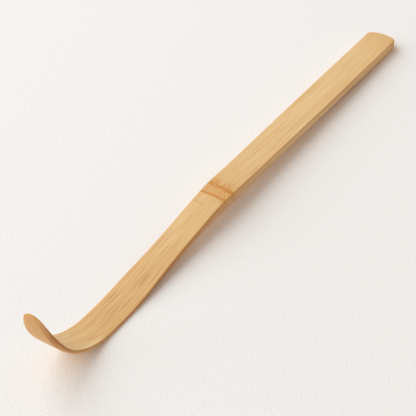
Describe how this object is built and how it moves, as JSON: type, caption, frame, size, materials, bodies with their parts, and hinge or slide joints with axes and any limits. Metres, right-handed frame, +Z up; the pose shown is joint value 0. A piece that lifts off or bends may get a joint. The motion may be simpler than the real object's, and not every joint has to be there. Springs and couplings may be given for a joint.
{
  "type": "tea scoop",
  "caption": "Long bamboo scoop for powdered tea: a flat handle, a node across the middle and a thin end steamed into an upturned scoop.",
  "frame": {"origin": "middle of what the scoop covers, on the surface it rests on", "axes": "+X from the scoop to the cut end of the handle, +Y to the left side seen from the scoop, +Z up from the table, skin side up"},
  "size_m": [0.1822, 0.0096, 0.0239],
  "materials": {
    "bamboo": "satin, scraped skin of pale bamboo"
  },
  "bodies": {
    "root": {"scoop": "bamboo"}
  },
  "joints": []
}
